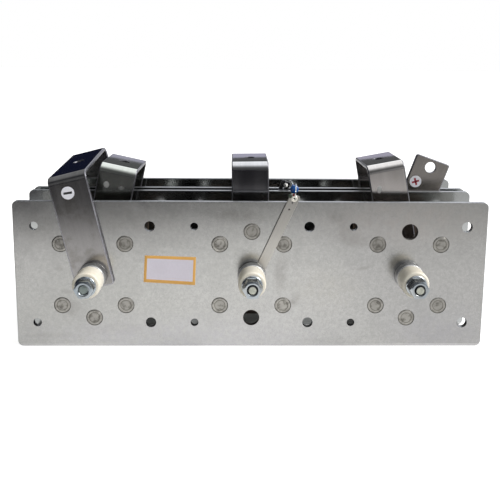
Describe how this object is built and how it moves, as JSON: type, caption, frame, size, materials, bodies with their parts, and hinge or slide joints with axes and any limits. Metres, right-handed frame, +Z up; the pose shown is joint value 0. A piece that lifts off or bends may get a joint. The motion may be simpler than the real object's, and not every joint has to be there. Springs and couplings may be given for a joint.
{
  "type": "bridge rectifier",
  "caption": "Three-phase bridge rectifier stack: aluminium heat-sink plates with press-fit diodes, clamped on through-bolts, with bent bus bars for AC and DC terminals.",
  "frame": {"origin": "middle of the stack's footprint, at the level of the plates' bottom edges", "axes": "+X along the plates' long side, towards the positive terminal; +Y from the front plate to the rear plate; +Z up, towards the terminals"},
  "size_m": [0.37, 0.1486, 0.1493],
  "materials": {
    "plate": "satin",
    "bar": "satin",
    "collector": "satin",
    "zinc": "gloss",
    "collar": "satin",
    "insulator": "satin",
    "diode": "satin",
    "lug": "satin",
    "varistor": "gloss",
    "solder": "satin",
    "paper": "matte"
  },
  "bodies": {
    "root": {"ac1_bracket": "bar", "ac1_collector_front": "collector", "ac1_collector_rear": "collector", "ac2_bracket": "bar", "ac2_collector_front": "collector", "ac2_collector_rear": "collector", "ac3_bracket": "bar", "ac3_collector_front": "collector", "ac3_collector_rear": "collector", "diode_1a": "diode", "diode_1b": "diode", "diode_1c": "diode", "diode_1d": "diode", "diode_1e": "diode", "diode_2a": "diode", "diode_2b": "diode", "diode_2c": "diode", "diode_2d": "diode", "diode_2e": "diode", "diode_3a": "diode", "diode_3b": "diode", "diode_3c": "diode", "diode_3d": "diode", "diode_3e": "diode", "disc_varistor": "varistor", "heatsink_plate_1": "plate", "heatsink_plate_2": "plate", "heatsink_plate_3": "plate", "heatsink_plate_4": "plate", "lug_strip_front": "lug", "lug_strip_rear": "lug", "minus_strap": "bar", "plus_strap": "bar", "stud1_bolt": "zinc", "stud1_bush": "insulator", "stud1_collar": "collar", "stud1_middle_ring": "collar", "stud1_nut": "zinc", "stud1_spacer_a": "insulator", "stud1_spacer_b": "insulator", "stud1_spacer_c": "insulator", "stud1_spacer_d": "insulator", "stud2_bolt": "zinc", "stud2_bush": "insulator", "stud2_collar": "collar", "stud2_middle_ring": "collar", "stud2_nut": "zinc", "stud2_spacer_a": "insulator", "stud2_spacer_b": "insulator", "stud2_spacer_c": "insulator", "stud2_spacer_d": "insulator", "stud3_bolt": "zinc", "stud3_bush": "insulator", "stud3_collar": "collar", "stud3_middle_ring": "collar", "stud3_nut": "zinc", "stud3_spacer_a": "insulator", "stud3_spacer_b": "insulator", "stud3_spacer_c": "insulator", "stud3_spacer_d": "insulator"}
  },
  "joints": []
}
